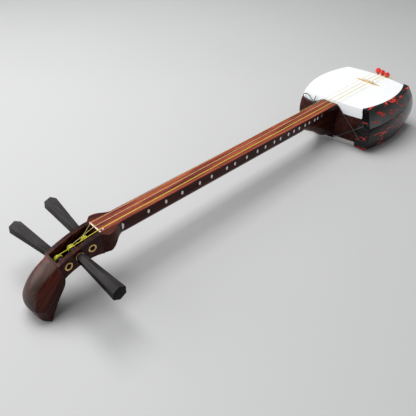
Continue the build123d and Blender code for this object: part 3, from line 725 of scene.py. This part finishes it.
def coil(number):
    """The string's turns on its peg, in two and a half layers, leaving at the top towards the nut."""
    origin, _, _, z = peg_axis(number)
    radius = STRING_RADII[number]
    start, nut_point = (millimetres(*p) for p in STRING_ROUTES[number][:2])
    arm = start - origin
    middle = arm.dot(z)
    arm -= z * middle
    away = (nut_point - start).normalized()
    sense = 1 if z.cross(arm).dot(away) > 0 else -1
    first, final = shaft_radius(middle, PEG_REACH[number]) + radius + 0.0002, arm.length
    edge = COIL_HALF - radius
    turns = 2 * edge / (2.06 * radius)
    places, swept = [], 0.0
    layers = [(-edge, edge, turns), (edge, -edge, turns), (-edge, 0, turns / 2)]
    for layer, (low, high, count) in enumerate(layers):
        steps = max(8, int(count * COIL_STEPS))
        for share in (i / steps for i in range(steps)):
            angle = swept + 2 * math.pi * count * share
            places.append((angle, low + (high - low) * share, layer + share * share))
        swept += 2 * math.pi * count
    places.append((swept, 0.0, COIL_LAYERS))
    u = arm.normalized()
    v = z.cross(u)
    points = []
    for angle, along, height in places:
        turn = sense * (angle - swept)
        level = first + (final - first) * min(1.0, height / (COIL_LAYERS - 0.5))
        points.append(origin + z * (middle + along) + (u * math.cos(turn) + v * math.sin(turn)) * level)
    build = Build().rope(points, radius, 3, 0.0042, 0.14, 9)
    build.piece(f"coil_{number}", STRING_THICK, f"peg_{number}", "string_yellow", [f"winding_{number}"], 60)


def string(number):
    """Twisted silk string from its coils over the nut and the bridge to its knot."""
    points = stepped([millimetres(*p) for p in STRING_ROUTES[number]], 0.0006)
    build = Build().rope(
        points, STRING_RADII[number], STRING_LOBES, STRING_PITCH, STRING_GROOVE, STRING_SIDES
    )
    look = STRING_THICK if number == "1" else STRING
    build.piece(f"string_{number}_twisted", look, "body", "string_yellow", [f"string_{number}"], 60)


for number in NUMBERS:
    peg(number)
    ring(number, "near")
    ring(number, "far")
    coil(number)
    string(number)

# ---------------------------------------------------------------- nut and bridge

# Metres: half-widths and heights of the nut's and bridge's features.
GROOVE_HALF, GROOVE_DEPTH = 0.0007, 0.0004
NUT_END_ROUND = 0.0006
FOOT_HALF, FOOT_TIP_LOSS = 0.0028, 0.0014
FOOT_HEIGHT, FOOT_THIN, FOOT_TIP_DROP = 0.0028, 0.0021, 0.0012
SADDLE_HALF = 0.0010
SADDLE_ARCH, SADDLE_ARCH_HALF = 0.0018, 0.0085
SADDLE_SHOULDER = 0.0118


def arched(low_x, high_x, low_z, high_z, round_share, steps=8):
    """An outline with a flat foot, straight flanks and a rounded top."""
    middle, half = (low_x + high_x) / 2, (high_x - low_x) / 2
    rise = round_share * half
    points = [(low_x, low_z), (high_x, low_z)]
    for angle in spread(0.0, math.pi, steps):
        points.append((middle + half * math.cos(angle), high_z - rise + rise * math.sin(angle)))
    return points


def groove_depth(y, stop):
    """How deep the three strings' grooves are at y, where the strings pass this stop of their routes."""
    grooves = [STRING_ROUTES[n][stop][1] / 1000 for n in NUMBERS]
    return max(max(0.0, 1 - abs(y - groove) / GROOVE_HALF) for groove in grooves) * GROOVE_DEPTH


def nut():
    """The bone nut with a rounded top and three string grooves."""
    low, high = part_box("nut")

    def section(y):
        end = min(1.0, min(y - low.y, high.y - y) / NUT_END_ROUND)
        top = high.z - groove_depth(y, NUT_STOP) - 0.0005 * (1 - end) ** 2
        return arched(low.x, high.x, low.z, top, 0.8)

    build = Build().bar(spread(low.y, high.y, 118), section)
    build.piece("nut_grooved", BONE, "body", "bone", ["nut"], 50)


def bridge():
    """A long low bamboo foot that thins to its ends, and an arched bone saddle with grooves."""
    low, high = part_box("bridge_foot")
    middle_x, middle_y = (low.x + high.x) / 2, (low.y + high.y) / 2
    half = (high.y - low.y) / 2

    def foot(y):
        share = abs(y - middle_y) / half
        width = FOOT_HALF - FOOT_TIP_LOSS * max(0.0, share - 0.42) / 0.58
        width *= math.sqrt(max(0.04, 1 - max(0.0, (share - 0.955) / 0.045) ** 2))
        if share < 0.44:
            height = FOOT_HEIGHT
        elif share < 0.52:
            height = FOOT_HEIGHT - (FOOT_HEIGHT - FOOT_THIN) * (share - 0.44) / 0.08
        else:
            height = FOOT_THIN - FOOT_TIP_DROP * (share - 0.52) / 0.48
        return arched(middle_x - width, middle_x + width, low.z, low.z + height, 0.45)

    build = Build().bar(spread(low.y, high.y, 90), foot)
    build.piece("bridge_foot_shaped", BAMBOO, "bridge", "bamboo", ["bridge_foot"], 40)
    saddle_low, saddle_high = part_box("bridge_saddle")
    seat = low.z + FOOT_HEIGHT - 0.0001

    def blade(y):
        offset = abs(y - middle_y)
        lift = SADDLE_ARCH * min(1.0, max(0.0, (SADDLE_ARCH_HALF - offset) / 0.0015))
        shoulder = 0.0008 * max(0.0, (offset - SADDLE_SHOULDER) / 0.0012) ** 2
        top = saddle_high.z - groove_depth(y, BRIDGE_STOP) - shoulder
        return arched(middle_x - SADDLE_HALF, middle_x + SADDLE_HALF, seat + lift, top, 0.9)

    build = Build().bar(spread(saddle_low.y, saddle_high.y, 130), blade)
    build.piece("bridge_saddle_shaped", BONE_WHITE, "bridge", "bone", ["bridge_saddle"], 50)


nut()
bridge()
softened("arm_cover_eased", "arm_cover", 0.0011, "body")

# ---------------------------------------------------------------- tail cord and knots

# The knots and the runs' feet beside the spike, in millimetres.
KNOTS = [(107.0, -22.0, 97.0), (107.0, -9.3, 99.1), (107.0, 3.0, 100.8)]
RUN_FEET = (-6.0, 0.0, 6.0)
# The way each knot's ring faces, and its radius in metres.
KNOT_TILTS = [(-0.62, -0.55, 0.56), (-0.35, -0.75, 0.56), (-0.7, -0.35, 0.62)]
KNOT_RADIUS = 0.0070
COLLAR_TURNS, COLLAR_STEPS = 4, 120


def knot_turns(build, centre, tilt, radius, phase):
    """Silk cord wound three times round in a tight ring that rolls over itself."""
    z = Vector(tilt).normalized()
    x = z.orthogonal().normalized()
    y = z.cross(x)
    cord, tube = radius * 0.255, radius * 0.30
    ring_radius = radius - tube - cord * 0.98
    points = []
    count, laps, rolls = 300, 3, 7
    for i in range(count):
        t = 2 * math.pi * i / count
        lap, roll = laps * t + phase, rolls * t
        out = ring_radius + tube * math.cos(roll)
        points.append(centre + (x * math.cos(lap) + y * math.sin(lap)) * out + z * tube * math.sin(roll))
    return build.rope(points, cord, 3, 0.0035, 0.2, 9, closed=True)


def side_surface(y, z):
    """How far the body's neck-side and tail-side faces stand from the middle, in millimetres."""
    bulge = 8.0 * (1 - ((z - 47.0) / 47.0) ** 2)
    return 89.0 + bulge + 9.8 * (1 - (y / (76.0 + bulge)) ** 2)


def tail_knots():
    """The three knots that the strings are tied into."""
    build = Build()
    for index, (knot, tilt) in enumerate(zip(KNOTS, KNOT_TILTS)):
        knot_turns(build, millimetres(*knot), tilt, KNOT_RADIUS, index * 0.7)
    build.piece("silk_knots", RED_SILK, "body", "silk_red", ["neo_knots"], 60)


def tail_runs():
    """The runs down the tail face, from the knots to the spike."""
    build = Build()
    for (_, y, z), foot in zip(KNOTS, RUN_FEET):
        corners = [
            (112.0, y, z - 3.5),
            (113.2, y, z - 8.0),
            (side_surface(y, 82) + 7.0, y * 0.9, 84.0),
            (side_surface(foot, 72) + 4.2, y * 0.4 + foot * 0.6, 76.5),
            (side_surface(foot, 70) + 3.4, y * 0.2 + foot * 0.8, 71.0),
        ]
        build.rope(spline([millimetres(*c) for c in corners]), 0.0025, 3, 0.0085, 0.26, 12)
    build.piece("silk_runs", RED_SILK, "body", "silk_red", ["neo_cord"], 60)


def tail_collar():
    """The turns round the spike: rounded squares side by side along it."""
    low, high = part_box("neo_collar")
    thick = (high.x - low.x) / 8
    half_y, half_z = (high.y - low.y) / 2 - thick, (high.z - low.z) / 2 - thick
    middle_z = (low.z + high.z) / 2
    count = COLLAR_TURNS * COLLAR_STEPS
    points = []
    for i, x in enumerate(spread(low.x + thick, high.x - thick, count - 1)):
        angle = 2 * math.pi * i / COLLAR_STEPS
        c, s = math.cos(angle), math.sin(angle)
        squareness = 1 / (abs(c) ** 5 + abs(s) ** 5) ** 0.2
        points.append(Vector((x, half_y * c * squareness, middle_z + half_z * s * squareness)))
    build = Build().rope(points, thick * 0.99, 3, 0.007, 0.2, 12)
    build.piece("silk_collar", RED_SILK, "body", "silk_red", ["neo_collar"], 60)


def string_tails():
    """The strings' ends that stand out of their knots, and a loop of the thickest below them."""
    ends = {
        "1": [
            (100.6, -22.0, 97.2), (102.0, -25.5, 94.5), (105.0, -29.0, 92.5),
            (106.5, -33.0, 92.6), (106.0, -37.0, 94.0), (104.5, -42.0, 96.0),
        ],
        "2": [(100.6, -9.3, 99.2), (101.0, -11.5, 96.0), (102.0, -14.5, 94.0), (103.0, -16.0, 92.6)],
    }
    loop = [
        (100.0, -18.0, 92.2), (101.0, -22.5, 90.9), (103.6, -27.0, 92.0), (104.6, -31.0, 94.6),
        (103.6, -34.5, 94.2),
    ]
    runs = [(corners, STRING_RADII[number], STRING_GROOVE) for number, corners in ends.items()]
    runs.append((loop, 0.0009, 0.2))
    build = Build()
    for corners, radius, groove in runs:
        points = spline([millimetres(*c) for c in corners], 0.0005)
        build.rope(points, radius, STRING_LOBES, STRING_PITCH, groove, STRING_SIDES)
    build.piece("string_ends", STRING_END, "body", "string_yellow")


tail_knots()
tail_runs()
tail_collar()
string_tails()

# ---------------------------------------------------------------- cover cord and bow

# The cover's two eyes, the body's top and the bow's knot, in millimetres.
EYES = [(-98.5, -91.0, 62.0), (-98.5, -91.0, 28.0)]
BODY_TOP = 94.0
BOW_Y, BOW_Z, BOW_LIFT = 37.6, 76.2, 5.1
COVER_CORD = {"radius": 0.0011, "lobes": 2, "pitch": 0.0045, "groove": 0.2, "sides": 10}


def on_neck_side(y, z, lift):
    """A point off the body's neck-side face; above the body's top it runs straight up."""
    return millimetres(-side_surface(y, min(z, BODY_TOP)) - lift, y, z)


def cover_cords():
    """Two runs from the cover's eyes: one under the heel, one in the step at the fingerboard's end."""
    bends = [(-105.0, -89.0, 61.0), (-105.0, -89.5, 29.5)]
    under = [
        (-66, 42, 2.0), (-29, 12, 1.7), (-18, 6.2, 1.6), (-12, 5.6, 1.5), (12, 5.6, 1.5),
        (20, 7.0, 1.6), (30, 14, 1.6), (35, 40, 1.5), (36.2, 60, 2.4), (BOW_Y, BOW_Z, 3.6),
    ]
    over = [
        (-66, 50, 2.2), (-38, 73.8, 1.7), (-25.5, 83.8, 1.4), (-21.5, 86.9, 1.3), (-17.0, 87.0, 1.3),
        (17.0, 87.0, 1.3), (21.5, 86.9, 1.3), (25.5, 84.2, 1.5), (BOW_Y, BOW_Z, 3.6),
    ]
    build = Build()
    for (x, y, z), bend, rest in zip(EYES, bends, (under, over)):
        start = [millimetres(x + 2.0, y, z), millimetres(x - 4.6, y, z), millimetres(*bend)]
        build.rope(spline(start + [on_neck_side(*point) for point in rest]), **COVER_CORD)
    build.piece("cover_cord_twisted", BLACK_CORD, "body", "cord_black", ["cover_cord"], 60)


def cover_bow():
    """The bow beside the neck: a wrapped knot, a wide loop, an end that stands up and a short lower end."""
    y, z = BOW_Y, BOW_Z
    loop = [
        (y + 1, z + 0.5), (45, 78.5), (50, 81), (58, 84.4), (64, 85.6), (72, 84.4), (76.4, 80.5),
        (73, 76.2), (66, 74.6), (58, 74.0), (51, 74.5), (45, 75.2), (y + 1, z - 1.5),
    ]
    upper_end = [
        (y, z + 1), (y + 1.6, z + 4.0), (y + 2.0, z + 8.0), (y + 1.4, z + 11.5), (y + 0.5, z + 14.5),
    ]
    lower_end = [(y, z - 1), (41, 70), (44, 66), (46, 62), (47, 57)]
    build = Build()
    for run in (loop, upper_end, lower_end):
        build.rope(spline([on_neck_side(a, b, BOW_LIFT) for a, b in run]), **COVER_CORD)
    knot_turns(build, on_neck_side(y, z, BOW_LIFT - 1.0), (-0.8, 0.3, 0.5), 0.0036, 0.4)
    build.piece("cover_bow_tied", BLACK_CORD, "body", "cord_black", ["cover_bow"], 60)


def eyelets():
    """Turned eyelets where the cord enters the cover's end."""
    profile = [
        (-0.0026, 0.00135), (0.0026, 0.00135), (0.0029, 0.0016), (0.0030, 0.0020), (0.0028, 0.0025),
        (0.0023, 0.0027), (0.0011, 0.0027), (0.0010, 0.0022), (-0.0026, 0.0021),
    ]
    build = Build()
    for eye in EYES:
        axis = (millimetres(*eye), Vector((0, 1, 0)), Vector((0, 0, 1)), Vector((-1, 0, 0)))
        build.lathe(axis, profile, 36, closed=True)
    build.piece("eyelets_turned", EYELET, "body", "grommet", ["cord_eyes"], 45)


cover_cords()
cover_bow()
eyelets()

# ---------------------------------------------------------------- stage

CAMERA_PLACE = (-0.94925, -0.48146, 0.55979)
CAMERA_TURN_DEGREES = (50.7554, -0.0949, -43.8226)
CAMERA_LENS = 39.01
CAMERA_SHIFT_Y = -6.5 / 416
WORLD_COLOUR, WORLD_STRENGTH = (0.95, 0.97, 1.0, 1), 0.25


def floor():
    """A plain pale floor just below the object."""
    bpy.ops.mesh.primitive_plane_add(size=12, location=(0.2, 0.2, -0.0005))
    plane = bpy.context.object
    plane.name = "floor"
    s = Shader("floor_pale", Roughness=0.6)
    cloud = s.noise(s.coords(), 1.5, 2.0)
    s.set(Base_Color=s.mix(cloud, (0.50, 0.50, 0.50), (0.55, 0.55, 0.55)))
    plane.data.materials.append(s.material)


def area_light(name, location, target, size_x, size_y, power):
    """A soft box that faces its target."""
    data = bpy.data.lights.new(name, "AREA")
    data.shape = "RECTANGLE"
    data.size = size_x
    data.size_y = size_y
    data.energy = power
    lamp = bpy.data.objects.new(name, data)
    lamp.location = location
    lamp.rotation_euler = (Vector(target) - Vector(location)).to_track_quat("-Z", "Y").to_euler()
    bpy.context.scene.collection.objects.link(lamp)


def studio_world():
    """An even, slightly cool surrounding light."""
    world = bpy.data.worlds.new("studio")
    world.use_nodes = True
    background = world.node_tree.nodes["Background"]
    background.inputs["Color"].default_value = WORLD_COLOUR
    background.inputs["Strength"].default_value = WORLD_STRENGTH
    bpy.context.scene.world = world
    bpy.context.scene.view_settings.view_transform = "Standard"


def main_camera():
    """Above the head, looking along the neck to the body."""
    data = bpy.data.cameras.new("camera")
    data.lens = CAMERA_LENS
    data.shift_y = CAMERA_SHIFT_Y
    camera = bpy.data.objects.new("camera", data)
    camera.location = CAMERA_PLACE
    camera.rotation_euler = [math.radians(angle) for angle in CAMERA_TURN_DEGREES]
    bpy.context.scene.collection.objects.link(camera)
    bpy.context.scene.camera = camera


floor()
area_light("key", (-0.35, 0.75, 2.3), (-0.35, 0, 0.05), 1.7, 1.7, 58)
area_light("head_sweep", (-1.9, 1.5, 1.0), (-0.80, 0, 0.05), 2.0, 1.5, 30)
studio_world()
main_camera()

bpy.context.view_layer.update()
